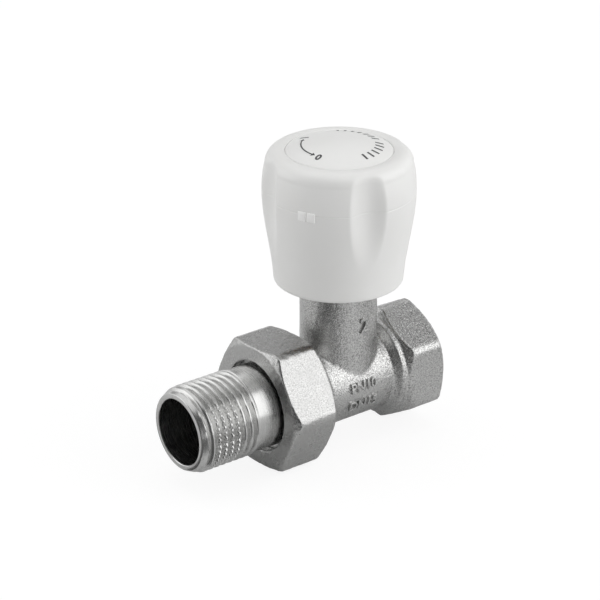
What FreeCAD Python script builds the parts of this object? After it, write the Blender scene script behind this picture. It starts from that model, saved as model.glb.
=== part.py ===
import FreeCAD, Part
import math
import os
from FreeCAD import Vector, Rotation

# Straight radiator valve with a union tail, closed, in millimetres.
# The pipe axis is X and the stem axis is parallel to Z. The origin is the centre of the female mouth,
# and the tail points along -X. Pieces are drawn with the stem axis at X = 0 and moved at the end.

# Reach of the arms from the crossing of the two axes
inlet_reach = 23.0
tail_reach = 46.8
neck_top = 27.5

# Threads, drawn plain at their outside radius
pipe_thread_radius = 10.48
union_thread_radius = 13.22
stem_thread_radius = 4.0
wheel_screw_radius = 2.0
disc_screw_radius = 1.5
stem_thread_pitch = 1.5
stem_turns = 2.5
thread_gap = 0.05

# Seat in the web between the two chambers
seat_radius = 4.75
seat_lip_width = 0.85
seat_lip_height = 0.8
web_top = 0.5
web_thickness = 2.0

# Seat disc and the plug that carries it
disc_overlap = 0.4
disc_gap = 0.05
disc_thickness = 2.0
disc_side_gap = 0.05
disc_washer_overlap = 2.1
disc_washer_thickness = 0.8
disc_screw_head_overlap = 1.3
disc_screw_head_height = 1.6
disc_screw_grip = 1.7
screw_slot_width = 0.8
screw_slot_depth = 0.8
plug_rim = 0.75
plug_skirt_height = 3.5
plug_rim_gap = 0.8
plug_waist_wall = 0.7
plug_taper = 1.0
pocket_floor_height = 2.65
clip_thickness = 0.7
clip_seat = 0.6
clip_room = 0.45
clip_opening = 50.0
clip_play = 0.1
clip_edge = 1.3

# Forged body
plug_room = 0.6
neck_thread_step = 0.6
neck_wall = 1.25
barrel_step = 0.95
neck_blend = 1.4
body_wall = 2.2
inlet_wall = 2.57
inlet_hex_length = 11.2
hex_corner = 2.8
inlet_collar_wall = 1.97
inlet_collar_width = 1.4
flare_length = 1.1
inlet_thread_depth = 11.0
mouth_lead = 0.3
mouth_face_margin = 0.85
outlet_radius = 7.5
outlet_chamber_reach = 7.3
inlet_chamber_reach = 5.5
union_face_reach = 19.3
union_thread_length = 7.0
union_lead = 0.9
neck_thread_length = 8.5

# Union nut
nut_wall = 1.73
nut_length = 12.3
nut_lip = 2.4
nut_hole_gap = 0.6
nut_turned = -3.0
chamfer_angle = 30.0

# Union tail
tail_wall = 1.22
tail_lead_depth = 1.21
tail_lead_length = 2.6
tail_thread_length = 13.2
tail_land_step = 0.3
tail_collar_room = 1.32
tail_collar_length = 3.0
union_gap = 0.1
seal_section = 1.8
seal_edge = 0.8
seal_squeeze = 0.5
seal_groove_room = 0.1

# Bonnet, the screwed headwork
bonnet_gap = 0.03
bonnet_nose_gap = 0.1
bonnet_bottom_gap = 0.02
gasket_thickness = 0.8
bonnet_hex_overhang = 0.25
bonnet_hex_height = 4.5
tower_wall = 1.6
tower_height = 7.2
stem_step = 0.5
stem_gap = 0.05
smooth_bore_length = 8.5
stuffing_depth = 5.5
packing_width = 1.5
packing_height = 2.0
gland_washer_height = 0.7
gland_head_wall = 1.0
gland_head_height = 2.9
gland_head_gap = 0.1

# Stem
stem_head_radius = 3.4
stem_head_height = 2.0
stem_waist_radius = 2.3
stop_collar_overlap = 1.2
stop_collar_height = 1.5
stop_collar_standoff = 0.6
stem_cone = 0.5
ring_section = 1.28
ring_groove_room = 0.15
ring_first_height = 0.6
ring_spacing = 2.3
hub_standoff = 1.0
square_across = 4.9
square_length = 8.0
wheel_screw_grip = 7.0

# Handwheel
skirt_overlap = 1.0
cap_radius = 12.6
crown_width = 1.7
shoulder_width = 3.0
grip_swell = 0.8
skirt_taper = 2.7
grip_height = 21.5
shoulder_drop = 3.0
skirt_round = 1.0
wheel_wall = 3.2
wheel_web = 2.6
wheel_pocket_depth = 6.1
stem_end_gap = 0.6
flute_count = 4
flute_radius = 6.0
flute_depth = 1.9
flute_bow = 95.0
flute_rise = 2.5
flute_edge = 1.0
flute_first_angle = -16.0
hub_wall = 2.1
hub_gap = 0.05
rib_count = 8
rib_thickness = 1.4
rib_depth = 5.0
cap_gap = 0.1
cap_thickness = 1.3
cap_rise = 2.5
cap_skirt_width = 1.0
cap_skirt_depth = 2.4
cap_ledge = 1.1
washer_overlap = 2.3
washer_thickness = 0.8
washer_hole_gap = 0.15
wheel_screw_head_overlap = 1.6
wheel_screw_head_height = 2.4

# Radii that follow, from the seat outwards
disc_radius = seat_radius + seat_lip_width + disc_overlap
plug_radius = disc_radius + disc_side_gap + plug_rim
neck_bore_radius = plug_radius + plug_room
bonnet_thread_radius = neck_bore_radius + neck_thread_step
neck_radius = bonnet_thread_radius + neck_wall
barrel_radius = neck_radius + barrel_step
chamber_radius = barrel_radius - body_wall
bonnet_hex_across = 2 * (neck_radius + bonnet_hex_overhang)
stem_radius = stem_thread_radius - stem_step
stop_collar_radius = stem_thread_radius + stop_collar_overlap
gland_radius = stem_radius + packing_width
gland_head_across = 2 * (gland_radius + gland_head_wall)
tower_radius = gland_radius + tower_wall
hub_radius = stem_radius + hub_wall
clip_inner_radius = stem_waist_radius + clip_room
clip_outer_radius = stem_head_radius + clip_play + clip_seat
plug_waist_radius = clip_outer_radius + clip_play + plug_waist_wall
inlet_hex_across = 2 * (pipe_thread_radius + inlet_wall)
inlet_collar_radius = pipe_thread_radius + inlet_collar_wall
nut_across = 2 * (union_thread_radius + nut_wall)
tail_end_radius = pipe_thread_radius - tail_lead_depth
tail_bore_radius = tail_end_radius - tail_wall
tail_land_radius = pipe_thread_radius - tail_land_step
tail_collar_radius = union_thread_radius - tail_collar_room
seal_ring_radius = tail_collar_radius - seal_edge - seal_section / 2
crown_radius = cap_radius + crown_width
shoulder_radius = crown_radius + shoulder_width
grip_radius = shoulder_radius + grip_swell
skirt_radius = grip_radius - skirt_taper

# Heights that follow, from the seat up
stem_lift = stem_thread_pitch * stem_turns
seat_top = web_top + seat_lip_height
disc_bottom = seat_top + disc_gap
disc_top = disc_bottom + disc_thickness
plug_bottom = seat_top + plug_rim_gap
pocket_floor = disc_top + pocket_floor_height
head_bottom = pocket_floor + clip_play
head_top = head_bottom + stem_head_height
clip_bottom = head_top + 2 * clip_play
clip_top = clip_bottom + clip_thickness
plug_top = clip_top + clip_play + clip_edge
collar_bottom = plug_top + stop_collar_standoff
collar_top = collar_bottom + stop_collar_height
bonnet_bottom = collar_top + stem_lift + bonnet_bottom_gap
gasket_top = neck_top + gasket_thickness
hex_top = gasket_top + bonnet_hex_height
tower_top = hex_top + tower_height
stuffing_bottom = tower_top - stuffing_depth
smooth_bottom = stuffing_bottom - smooth_bore_length
stem_thread_top = smooth_bottom - stem_lift - stem_cone
packing_top = stuffing_bottom + packing_height
gland_bottom = packing_top + gland_washer_height
gland_top = tower_top + gland_head_gap + gland_head_height
stem_shoulder = gland_top + hub_standoff
hub_bottom = stem_shoulder + hub_gap
square_top = stem_shoulder + square_length
web_height = square_top + stem_end_gap
wheel_top = web_height + wheel_pocket_depth
wheel_bottom = neck_top - skirt_overlap

# Distances from the stem axis that follow
hex_start = inlet_reach - inlet_hex_length
collar_start = hex_start - inlet_collar_width
flare_start = collar_start - flare_length
thread_back = union_face_reach - union_thread_length
collar_face = union_face_reach + union_gap
collar_back = collar_face + tail_collar_length
nut_front = collar_back + union_gap + nut_lip
nut_back = nut_front - nut_length


def turned_z(outline):
    """Solid of revolution about the stem axis from (radius, height) points."""
    points = [Vector(radius, 0, height) for radius, height in outline]
    face = Part.Face(Part.makePolygon(points + points[:1]))
    return face.revolve(Vector(0, 0, 0), Vector(0, 0, 1), 360)


def turned_x(outline):
    """Solid of revolution about the pipe axis from (place, radius) points."""
    points = [Vector(place, 0, radius) for place, radius in outline]
    face = Part.Face(Part.makePolygon(points + points[:1]))
    return face.revolve(Vector(0, 0, 0), Vector(1, 0, 0), 360)


def rod_z(radius, bottom, top):
    return Part.makeCylinder(radius, top - bottom, Vector(0, 0, bottom))


def rod_x(radius, start, end):
    return Part.makeCylinder(radius, end - start, Vector(start, 0, 0), Vector(1, 0, 0))


def tube_z(inner, outer, bottom, top):
    return rod_z(outer, bottom, top).cut(rod_z(inner, bottom, top))


def hexagon(across, height):
    """Hexagonal prism on the XY plane, with a corner on +X."""
    corner = across / math.sqrt(3)
    points = []
    for step in range(6):
        angle = math.radians(60 * step)
        points.append(Vector(corner * math.cos(angle), corner * math.sin(angle), 0))
    face = Part.Face(Part.makePolygon(points + points[:1]))
    return face.extrude(Vector(0, 0, height))


def forged_hexagon(across, start, end, first_radius, last_radius, turned):
    """Hexagon along X with round corners and a chamfer cone at each end.
    With turned at 0 a corner points up. The radii are the chamfers' circles on the two end faces."""
    prism = hexagon(across, end - start)
    prism.Placement = FreeCAD.Placement(Vector(start, 0, 0), Rotation(Vector(0, 1, 0), 90))
    uprights = [edge for edge in prism.Edges if edge.BoundBox.XLength > 0.9 * (end - start)]
    prism = prism.makeFillet(hex_corner, uprights)
    slope = math.tan(math.radians(chamfer_angle))
    reach = across
    bound = turned_x([
        (start, 0),
        (start, first_radius),
        (start + (reach - first_radius) * slope, reach),
        (end - (reach - last_radius) * slope, reach),
        (end, last_radius),
        (end, 0),
    ])
    prism = prism.common(bound)
    prism.rotate(Vector(0, 0, 0), Vector(1, 0, 0), turned)
    return prism


def body_outside():
    """Barrel and neck with their blend, then the union end, the inlet collar and the hexagon."""
    barrel = rod_x(barrel_radius, -union_face_reach, inlet_reach)
    neck = rod_z(neck_radius, 0, neck_top)
    tee = barrel.fuse(neck)
    crease = [edge for edge in tee.Edges if is_crease(edge)]
    tee = tee.makeFillet(neck_blend, crease)
    union_end = turned_x([
        (-union_face_reach, 0),
        (-union_face_reach, union_thread_radius - union_lead),
        (-union_face_reach + union_lead, union_thread_radius),
        (-thread_back, union_thread_radius),
        (-thread_back + union_thread_radius - barrel_radius, barrel_radius),
        (-thread_back + union_thread_radius - barrel_radius, 0),
    ])
    collar = turned_x([
        (flare_start, 0),
        (flare_start, barrel_radius),
        (collar_start, inlet_collar_radius),
        (hex_start, inlet_collar_radius),
        (hex_start, 0),
    ])
    mouth_face = inlet_hex_across / 2 - mouth_face_margin
    hexagon_end = forged_hexagon(
        inlet_hex_across, hex_start, inlet_reach, inlet_collar_radius, mouth_face, 0)
    return tee.fuse([union_end, collar, hexagon_end]).removeSplitter()


def is_crease(edge):
    """True for the edges where the neck meets the barrel: off both end faces and not straight."""
    box = edge.BoundBox
    above = box.ZMin > 0
    below_top = box.ZMax < barrel_radius + 0.01
    inside = box.XMin > -neck_radius - 0.01 and box.XMax < neck_radius + 0.01
    return above and below_top and inside and box.YLength > neck_radius / 2


def body_waterway():
    """Inlet socket, the two chambers either side of the web, the seat hole and the neck bore."""
    span = 2 * barrel_radius
    web_bottom = web_top - web_thickness
    socket_floor = inlet_reach - inlet_thread_depth
    socket = rod_x(pipe_thread_radius, socket_floor, inlet_reach)
    lead = turned_x([
        (inlet_reach - mouth_lead, 0),
        (inlet_reach - mouth_lead, pipe_thread_radius),
        (inlet_reach, pipe_thread_radius + mouth_lead),
        (inlet_reach, 0),
    ])
    inlet_full = rod_x(chamber_radius, neck_bore_radius + body_wall, socket_floor)
    inlet_low = rod_x(chamber_radius, -inlet_chamber_reach, socket_floor)
    inlet_low = inlet_low.common(Part.makeBox(
        2 * span, 2 * span, span, Vector(-span, -span, web_bottom - span)))
    outlet_full = rod_x(outlet_radius, -union_face_reach, -outlet_chamber_reach)
    outlet_high = rod_x(outlet_radius, -union_face_reach, 0)
    outlet_high = outlet_high.common(Part.makeBox(
        2 * span, 2 * span, span, Vector(-2 * span, -span, web_top)))
    seat_hole = rod_z(seat_radius, web_bottom - 1, web_top + 1)
    chamber = rod_z(neck_bore_radius, web_top, neck_top)
    neck_thread = rod_z(bonnet_thread_radius, neck_top - neck_thread_length, neck_top)
    return socket.fuse([
        lead, inlet_full, inlet_low, outlet_full, outlet_high, seat_hole, chamber, neck_thread])


def valve_body():
    seat = turned_z([
        (seat_radius, web_top - web_thickness / 2),
        (seat_radius, seat_top),
        (seat_radius + seat_lip_width, seat_top),
        (seat_radius + seat_lip_width + seat_lip_height, web_top),
        (seat_radius + seat_lip_width + seat_lip_height, web_top - web_thickness / 2),
    ])
    return body_outside().cut(body_waterway()).fuse(seat).removeSplitter()


def union_nut():
    face_radius = nut_across / 2
    nut = forged_hexagon(nut_across, -nut_front, -nut_back, face_radius, face_radius, 30 + nut_turned)
    hole = rod_x(pipe_thread_radius + nut_hole_gap, -nut_front, -nut_back)
    thread = rod_x(union_thread_radius + thread_gap, -nut_front + nut_lip, -nut_back)
    return nut.cut(hole).cut(thread)


def tail_seal_groove():
    """Room for the O-ring in the collar's face, square in section."""
    half = seal_section / 2 + seal_groove_room
    depth = seal_section - seal_squeeze
    outer = rod_x(seal_ring_radius + half, -collar_face - depth, -collar_face)
    return outer.cut(rod_x(seal_ring_radius - half, -collar_face - depth, -collar_face))


def union_tailpiece():
    thread_start = tail_reach - tail_lead_length
    thread_end = thread_start - tail_thread_length
    runout = pipe_thread_radius - tail_land_radius
    outside = turned_x([
        (-tail_reach, tail_bore_radius),
        (-tail_reach, tail_end_radius),
        (-thread_start, pipe_thread_radius),
        (-thread_end, pipe_thread_radius),
        (-thread_end + runout, tail_land_radius),
        (-collar_back, tail_land_radius),
        (-collar_back, tail_collar_radius),
        (-collar_face, tail_collar_radius),
        (-collar_face, tail_bore_radius),
    ])
    return outside.cut(tail_seal_groove())


def union_seal():
    """O-ring, flattened where it presses on the end of the body."""
    place = -collar_face - (seal_section - seal_squeeze) + seal_section / 2
    ring = Part.makeTorus(seal_ring_radius, seal_section / 2, Vector(place, 0, 0), Vector(1, 0, 0))
    flat = -union_face_reach - union_gap / 5
    span = 2 * tail_collar_radius
    return ring.cut(Part.makeBox(span, 2 * span, 2 * span, Vector(flat, -span, -span)))


def bonnet():
    thread_bottom = neck_top - neck_thread_length + bonnet_gap
    outside = turned_z([
        (0, bonnet_bottom),
        (neck_bore_radius - bonnet_nose_gap, bonnet_bottom),
        (neck_bore_radius - bonnet_nose_gap, thread_bottom),
        (bonnet_thread_radius - bonnet_gap, thread_bottom),
        (bonnet_thread_radius - bonnet_gap, gasket_top),
        (tower_radius, gasket_top),
        (tower_radius, tower_top),
        (0, tower_top),
    ])
    flange = hexagon(bonnet_hex_across, bonnet_hex_height)
    flange.translate(Vector(0, 0, gasket_top))
    slope = math.tan(math.radians(chamfer_angle))
    reach = bonnet_hex_across
    flange = flange.common(turned_z([
        (0, gasket_top),
        (reach, gasket_top),
        (reach, hex_top - (reach - bonnet_hex_across / 2) * slope),
        (bonnet_hex_across / 2, hex_top),
        (0, hex_top),
    ]))
    stem_thread = rod_z(stem_thread_radius + thread_gap, bonnet_bottom, smooth_bottom)
    smooth = rod_z(stem_radius + stem_gap, smooth_bottom, stuffing_bottom)
    stuffing = rod_z(gland_radius, stuffing_bottom, tower_top)
    return outside.fuse(flange).cut(stem_thread.fuse([smooth, stuffing])).removeSplitter()


def bonnet_gasket():
    return tube_z(bonnet_thread_radius, neck_radius, neck_top, gasket_top)


def packing_ring():
    return tube_z(stem_radius + stem_gap, gland_radius - bonnet_gap, stuffing_bottom, packing_top)


def gland_washer():
    return tube_z(stem_radius + stem_gap, gland_radius - bonnet_gap, packing_top, gland_bottom)


def gland_nut():
    head_bottom_face = tower_top + gland_head_gap
    head = hexagon(gland_head_across, gland_head_height)
    head.translate(Vector(0, 0, head_bottom_face))
    slope = math.tan(math.radians(chamfer_angle))
    reach = gland_head_across
    head = head.common(turned_z([
        (0, head_bottom_face),
        (reach, head_bottom_face),
        (reach, gland_top - (reach - gland_head_across / 2) * slope),
        (gland_head_across / 2, gland_top),
        (0, gland_top),
    ]))
    shank = rod_z(gland_radius - bonnet_gap, gland_bottom, gland_top)
    return head.fuse(shank).cut(rod_z(stem_radius + stem_gap, gland_bottom, gland_top)).removeSplitter()


def ring_groove_bottoms():
    first = smooth_bottom + ring_first_height
    return [first, first + ring_spacing]


def ring_centre_radius():
    return stem_radius + stem_gap / 2 - ring_section / 2


def spindle():
    stem = turned_z([
        (0, head_bottom),
        (stem_head_radius, head_bottom),
        (stem_head_radius, head_top),
        (stem_waist_radius, head_top),
        (stem_waist_radius, collar_bottom),
        (stop_collar_radius, collar_bottom),
        (stop_collar_radius, collar_top),
        (stem_thread_radius, collar_top),
        (stem_thread_radius, stem_thread_top),
        (stem_radius, stem_thread_top + stem_cone),
        (stem_radius, stem_shoulder),
        (0, stem_shoulder),
    ])
    groove_width = ring_section + ring_groove_room
    groove_radius = ring_centre_radius() - ring_section / 2
    for bottom in ring_groove_bottoms():
        stem = stem.cut(tube_z(groove_radius, stem_thread_radius, bottom, bottom + groove_width))
    half = square_across / 2
    drive = Part.makeBox(
        square_across, square_across, square_top - collar_top, Vector(-half, -half, collar_top))
    drive = drive.common(rod_z(stem_radius - thread_gap, collar_top, square_top))
    for bottom in ring_groove_bottoms():
        drive = drive.cut(tube_z(groove_radius, stem_thread_radius, bottom, bottom + groove_width))
    screw_hole = rod_z(wheel_screw_radius, square_top - wheel_screw_grip, square_top)
    return stem.fuse(drive).cut(screw_hole).removeSplitter()


def stem_o_rings():
    rings = []
    for bottom in ring_groove_bottoms():
        height = bottom + (ring_section + ring_groove_room) / 2
        rings.append(Part.makeTorus(ring_centre_radius(), ring_section / 2, Vector(0, 0, height)))
    return Part.makeCompound(rings)


def valve_plug():
    """Brass cup that holds the seat disc below and the spindle's head above."""
    outside = turned_z([
        (0, plug_bottom),
        (plug_radius, plug_bottom),
        (plug_radius, plug_bottom + plug_skirt_height),
        (plug_waist_radius, plug_bottom + plug_skirt_height + plug_taper),
        (plug_waist_radius, plug_top),
        (0, plug_top),
    ])
    recess = rod_z(disc_radius + disc_side_gap, plug_bottom, disc_top)
    screw_hole = rod_z(disc_screw_radius, disc_top, disc_top + disc_screw_grip)
    pocket = rod_z(stem_head_radius + clip_play, pocket_floor, plug_top)
    groove = rod_z(clip_outer_radius + clip_play, clip_bottom, clip_top + clip_play)
    return outside.cut(recess.fuse([screw_hole, pocket, groove]))


def plug_clip():
    """Snap ring in the plug, over the spindle's head."""
    ring = tube_z(clip_inner_radius, clip_outer_radius, clip_bottom, clip_top)
    half = math.radians(clip_opening / 2)
    reach = 2 * clip_outer_radius
    wedge = Part.makePolygon([
        Vector(0, 0, clip_bottom),
        Vector(reach * math.cos(half), -reach * math.sin(half), clip_bottom),
        Vector(reach * math.cos(half), reach * math.sin(half), clip_bottom),
        Vector(0, 0, clip_bottom),
    ])
    return ring.cut(Part.Face(wedge).extrude(Vector(0, 0, clip_thickness)))


def disc_seal():
    return tube_z(disc_screw_radius, disc_radius, disc_bottom, disc_top)


def disc_washer():
    washer_radius = disc_screw_radius + disc_washer_overlap
    return tube_z(disc_screw_radius, washer_radius, disc_bottom - disc_washer_thickness, disc_bottom)


def slotted_screw(shank_radius, head_radius, head_height, shank_length):
    """Screw on the stem axis, head down from Z = 0 and shank up."""
    head = rod_z(head_radius, -head_height, 0)
    head = head.makeFillet(head_height / 3, [lowest_edge(head)])
    slot = Part.makeBox(
        2 * head_radius, screw_slot_width, screw_slot_depth,
        Vector(-head_radius, -screw_slot_width / 2, -head_height))
    return head.fuse(rod_z(shank_radius, 0, shank_length)).cut(slot).removeSplitter()


def lowest_edge(shape):
    return min(shape.Edges, key=lambda edge: edge.BoundBox.ZMax)


def disc_screw():
    bottom = disc_bottom - disc_washer_thickness
    length = disc_top + disc_screw_grip - bottom
    head_radius = disc_screw_radius + disc_screw_head_overlap
    screw = slotted_screw(disc_screw_radius, head_radius, disc_screw_head_height, length)
    screw.translate(Vector(0, 0, bottom))
    return screw


def wheel_face(inset):
    """Half section of the wheel's outside, or of its cavity when inset by the wall."""
    grip = wheel_bottom + grip_height
    shoulder = wheel_top - shoulder_drop
    side = Part.BSplineCurve()
    side.interpolate([
        Vector(skirt_radius - inset, 0, wheel_bottom),
        Vector((skirt_radius + grip_radius) / 2 - inset, 0, wheel_bottom + grip_height / 2),
        Vector(grip_radius - inset, 0, grip),
        Vector(shoulder_radius - inset, 0, shoulder),
    ])
    crown_mid = Vector(
        crown_radius + (shoulder_radius - crown_radius) * math.cos(math.radians(45)) - inset, 0,
        shoulder + (wheel_top - shoulder) * math.sin(math.radians(45)))
    crown = Part.Arc(
        Vector(shoulder_radius - inset, 0, shoulder), crown_mid,
        Vector(crown_radius - inset, 0, wheel_top))
    lid = Part.LineSegment(Vector(crown_radius - inset, 0, wheel_top), Vector(0, 0, wheel_top))
    axis = Part.LineSegment(Vector(0, 0, wheel_top), Vector(0, 0, wheel_bottom))
    floor = Part.LineSegment(Vector(0, 0, wheel_bottom), Vector(skirt_radius - inset, 0, wheel_bottom))
    edges = [curve.toShape() for curve in (side, crown, lid, axis, floor)]
    return Part.Face(Part.Wire(edges))


def wheel_flute(angle):
    """Finger flute: a slightly bowed round cutter that runs out at the crown and above the skirt."""
    deepest = wheel_bottom + grip_height + flute_rise
    reach = grip_radius - flute_depth + flute_radius + flute_bow
    cutter = Part.makeTorus(flute_bow, flute_radius, Vector(reach, 0, deepest), Vector(0, 1, 0))
    cutter.rotate(Vector(0, 0, 0), Vector(0, 0, 1), angle)
    return cutter


def flute_outline(solid):
    """Edges round the flutes, whose faces are the toroids that reach over less than half the wheel."""
    faces = [face for face in solid.Faces if face.Surface.TypeId == "Part::GeomToroid"]
    return [edge for face in faces if face.BoundBox.XLength < grip_radius for edge in face.Edges]


def handwheel():
    """Moulded cup with a web, a pocket for the screw and cap above it, and a ribbed hub below it."""
    axis_bottom = Vector(0, 0, 0)
    axis = Vector(0, 0, 1)
    solid = wheel_face(0).revolve(axis_bottom, axis, 360)
    rim = [edge for edge in solid.Edges if edge.BoundBox.ZMax < wheel_bottom + 0.01 and edge.Length > 10]
    solid = solid.makeFillet(skirt_round, rim)
    for step in range(flute_count):
        solid = solid.cut(wheel_flute(flute_first_angle + step * 360 / flute_count))
    solid = solid.makeFillet(flute_edge, flute_outline(solid))
    cavity = wheel_face(wheel_wall).revolve(axis_bottom, axis, 360)
    web_bottom = web_height - wheel_web
    below_web = cavity.common(rod_z(2 * grip_radius, wheel_bottom, web_bottom))
    ledge = wheel_top - cap_thickness
    pocket = rod_z(cap_radius - cap_ledge, web_height, ledge)
    cap_seat = rod_z(cap_radius + cap_gap, ledge, wheel_top)
    shell = solid.cut(below_web).cut(pocket.fuse(cap_seat))
    hub = rod_z(hub_radius, hub_bottom, web_bottom)
    ribs = []
    for step in range(rib_count):
        rib = Part.makeBox(
            grip_radius, rib_thickness, rib_depth,
            Vector(0, -rib_thickness / 2, web_bottom - rib_depth))
        rib.rotate(axis_bottom, axis, (step + 0.5) * 360 / rib_count)
        ribs.append(rib.common(cavity))
    half = square_across / 2 + hub_gap
    drive = Part.makeBox(
        2 * half, 2 * half, web_height - hub_bottom, Vector(-half, -half, hub_bottom))
    return shell.fuse([hub] + ribs).cut(drive).removeSplitter()


def screw_washer():
    hole_radius = wheel_screw_radius + washer_hole_gap
    outer_radius = wheel_screw_radius + washer_overlap
    return tube_z(hole_radius, outer_radius, web_height, web_height + washer_thickness)


def handwheel_screw():
    bottom = web_height + washer_thickness
    length = bottom - (square_top - wheel_screw_grip)
    head_radius = wheel_screw_radius + wheel_screw_head_overlap
    screw = slotted_screw(wheel_screw_radius, head_radius, wheel_screw_head_height, length)
    screw.rotate(Vector(0, 0, 0), Vector(1, 0, 0), 180)
    screw.translate(Vector(0, 0, bottom))
    return screw


def cap_disc():
    """Domed disc that stands flush at its rim, with a skirt that snaps into the pocket."""
    ledge = wheel_top - cap_thickness
    dome_radius = (cap_radius ** 2 + cap_rise ** 2) / (2 * cap_rise)
    dome = Part.makeSphere(dome_radius, Vector(0, 0, wheel_top + cap_rise - dome_radius))
    plate = rod_z(cap_radius, ledge, wheel_top + cap_rise).common(dome)
    outer = cap_radius - cap_ledge - cap_gap
    skirt = tube_z(outer - cap_skirt_width, outer, ledge - cap_skirt_depth, ledge)
    return plate.fuse(skirt).removeSplitter()


pieces = {
    "valve_body": valve_body,
    "union_nut": union_nut,
    "union_tailpiece": union_tailpiece,
    "union_seal": union_seal,
    "bonnet": bonnet,
    "bonnet_gasket": bonnet_gasket,
    "packing_ring": packing_ring,
    "gland_washer": gland_washer,
    "gland_nut": gland_nut,
    "spindle": spindle,
    "stem_o_rings": stem_o_rings,
    "valve_plug": valve_plug,
    "plug_clip": plug_clip,
    "disc_seal": disc_seal,
    "disc_washer": disc_washer,
    "disc_screw": disc_screw,
    "handwheel": handwheel,
    "screw_washer": screw_washer,
    "handwheel_screw": handwheel_screw,
    "cap_disc": cap_disc,
}

os.makedirs("parts", exist_ok=True)
for name, make in pieces.items():
    shape = make()
    shape.translate(Vector(-inlet_reach, 0, 0))
    shape.exportStep("parts/" + name + ".step")
    print(name, len(shape.Solids), "solids", round(shape.Volume, 1), "mm3", shape.isValid())
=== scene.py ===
import bmesh
import bpy
import math
from mathutils import Matrix, Vector, noise


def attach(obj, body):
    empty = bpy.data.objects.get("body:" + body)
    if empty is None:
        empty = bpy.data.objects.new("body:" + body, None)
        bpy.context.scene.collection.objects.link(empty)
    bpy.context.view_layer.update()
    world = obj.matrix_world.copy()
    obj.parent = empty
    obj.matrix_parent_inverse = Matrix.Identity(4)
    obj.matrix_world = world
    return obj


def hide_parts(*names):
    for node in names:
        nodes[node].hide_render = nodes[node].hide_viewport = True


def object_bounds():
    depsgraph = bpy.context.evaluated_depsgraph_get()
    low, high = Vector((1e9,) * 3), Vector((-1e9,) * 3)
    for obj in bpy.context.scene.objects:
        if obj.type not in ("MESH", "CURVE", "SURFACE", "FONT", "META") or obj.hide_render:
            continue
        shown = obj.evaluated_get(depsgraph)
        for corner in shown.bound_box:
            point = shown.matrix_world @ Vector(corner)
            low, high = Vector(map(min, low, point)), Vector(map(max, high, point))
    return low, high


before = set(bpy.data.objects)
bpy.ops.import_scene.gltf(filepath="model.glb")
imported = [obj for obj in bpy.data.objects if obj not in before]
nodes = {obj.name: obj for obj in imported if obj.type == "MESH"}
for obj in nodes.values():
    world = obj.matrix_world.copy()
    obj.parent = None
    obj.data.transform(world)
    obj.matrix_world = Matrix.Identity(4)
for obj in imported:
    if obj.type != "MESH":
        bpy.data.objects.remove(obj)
cad_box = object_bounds()


# Forged body
# Brass, forged hot, shot-blasted and plated with satin nickel, so its skin is grainy and its
# edges are round. Only its threads and end faces are turned. Sizes are in mm here and below.
MM = 0.001
UNION_THREAD_END = -35.3
THREAD_CORE = 12.0  # the union thread is a ring of its own, and the body is thinner under it
CORE_MARGIN = 0.2
SWELL_WIDTH = 0.9
SWELL_SINK = 0.6  # most of the unevenness goes inwards, so the skin stays within the solid
FACE_MARGIN = 0.08  # the inlet's turned face is flat again after the skin was made uneven


def linear(code):
    """sRGB hex colour as the linear colour that a shader takes."""
    parts = [int(code[i:i + 2], 16) / 255 for i in (1, 3, 5)]
    return [c / 12.92 if c <= 0.04045 else ((c + 0.055) / 1.055) ** 2.4 for c in parts] + [1.0]


def add(tree, kind, inputs, **settings):
    """Adds a node, makes its settings, and sets or links each input."""
    node = tree.nodes.new(kind)
    for name, value in settings.items():
        setattr(node, name, value)
    for socket, value in inputs.items():
        if isinstance(value, bpy.types.NodeSocket):
            tree.links.new(value, node.inputs[socket])
        else:
            node.inputs[socket].default_value = value
    return node


def new_finish(name):
    """Material with an empty node tree."""
    finish = bpy.data.materials.new(name)
    finish.use_nodes = True
    finish.node_tree.nodes.clear()
    return finish, finish.node_tree


def nickel_forging(name, light, dark, grain_size, grain_depth, low_rough, high_rough):
    """Satin nickel over a blasted forging: a grain that sparkles, painted shade that darkens its
    hollows, and 4 mm clouds in gloss. The real grit is near 0.1 mm; it is drawn about three times
    as coarse so that it shows."""
    finish, tree = new_finish(name)
    place = add(tree, "ShaderNodeTexCoord", {}).outputs["Object"]
    grain = add(tree, "ShaderNodeTexNoise", {
        "Vector": place, "Scale": 1 / (grain_size * MM), "Detail": 3.0, "Roughness": 0.6})
    clouds = add(tree, "ShaderNodeTexNoise", {
        "Vector": place, "Scale": 1 / (4 * MM), "Detail": 2.0})
    # Painted shade: the grain's low points, where the bump sinks, take the dark colour.
    pit_shade = add(tree, "ShaderNodeMapRange", {
        "Value": grain.outputs["Fac"], "From Min": 0.32, "From Max": 0.6})
    colour = add(tree, "ShaderNodeMix", {
        "Factor": pit_shade.outputs["Result"], "A": linear(dark), "B": linear(light)},
        data_type="RGBA")
    rough = add(tree, "ShaderNodeMapRange", {
        "Value": clouds.outputs["Fac"], "From Min": 0.3, "From Max": 0.7,
        "To Min": low_rough, "To Max": high_rough})
    relief = add(tree, "ShaderNodeBump", {
        "Height": grain.outputs["Fac"], "Strength": 1.0, "Distance": grain_depth * MM})
    metal = add(tree, "ShaderNodeBsdfPrincipled", {
        "Base Color": colour.outputs["Result"], "Metallic": 1.0,
        "Roughness": rough.outputs["Result"], "Normal": relief.outputs["Normal"]})
    add(tree, "ShaderNodeOutputMaterial", {"Surface": metal.outputs["BSDF"]})
    return finish


def copy_of(node):
    """The solid's surface as one connected mesh."""
    bm = bmesh.new()
    bm.from_mesh(nodes[node].data)
    bmesh.ops.remove_doubles(bm, verts=bm.verts, dist=0.002 * MM)
    return bm


def mesh_of(bm, name):
    """Turns the working mesh into a finished one."""
    mesh = bpy.data.meshes.new(name)
    bm.to_mesh(mesh)
    bm.free()
    return mesh


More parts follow.
